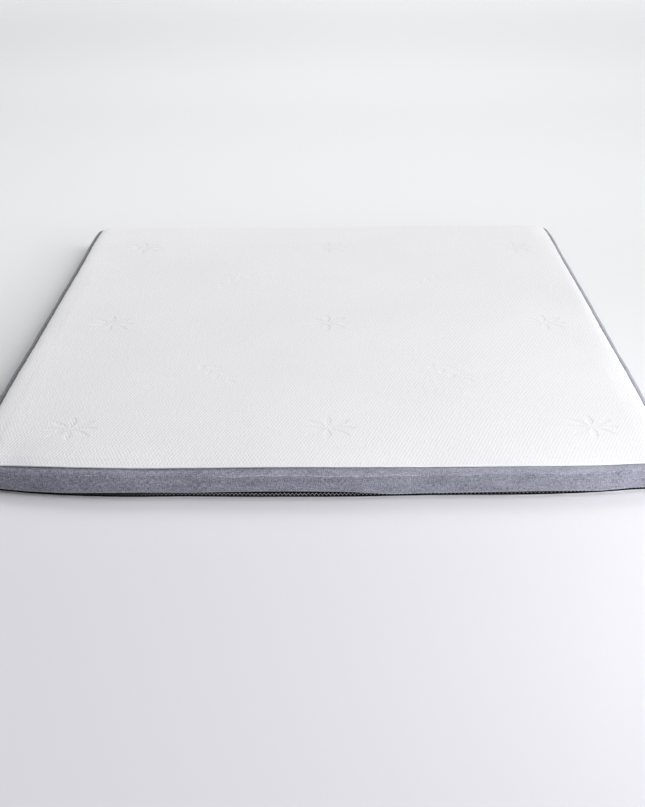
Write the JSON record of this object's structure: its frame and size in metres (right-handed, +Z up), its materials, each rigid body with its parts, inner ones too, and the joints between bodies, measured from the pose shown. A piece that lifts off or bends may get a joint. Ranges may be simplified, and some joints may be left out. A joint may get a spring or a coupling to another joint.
{
  "type": "mattress topper",
  "caption": "Foam mattress topper with a white knitted top, pressed flower motifs, a grey heather border and a black zip band under its hem.",
  "frame": {"origin": "middle of the underside, on the surface that the topper lies on", "axes": "+X across the width, to the right seen from the front edge; +Y along the length, from the front edge to the back edge; +Z up"},
  "size_m": [1.4011, 2.0003, 0.062],
  "materials": {
    "white_knit": "soft matt jacquard knit",
    "heather_border": "matt heather weave",
    "zip_band": "black coil on woven tape",
    "underside_cloth": "plain matt cloth"
  },
  "bodies": {
    "root": {"top_panel": "white_knit", "bottom_panel": "underside_cloth", "border_front": "heather_border", "border_right": "heather_border", "border_back": "heather_border", "border_left": "heather_border", "zip_front": "zip_band", "zip_right": "zip_band", "zip_back": "zip_band", "zip_left": "zip_band"}
  },
  "joints": []
}
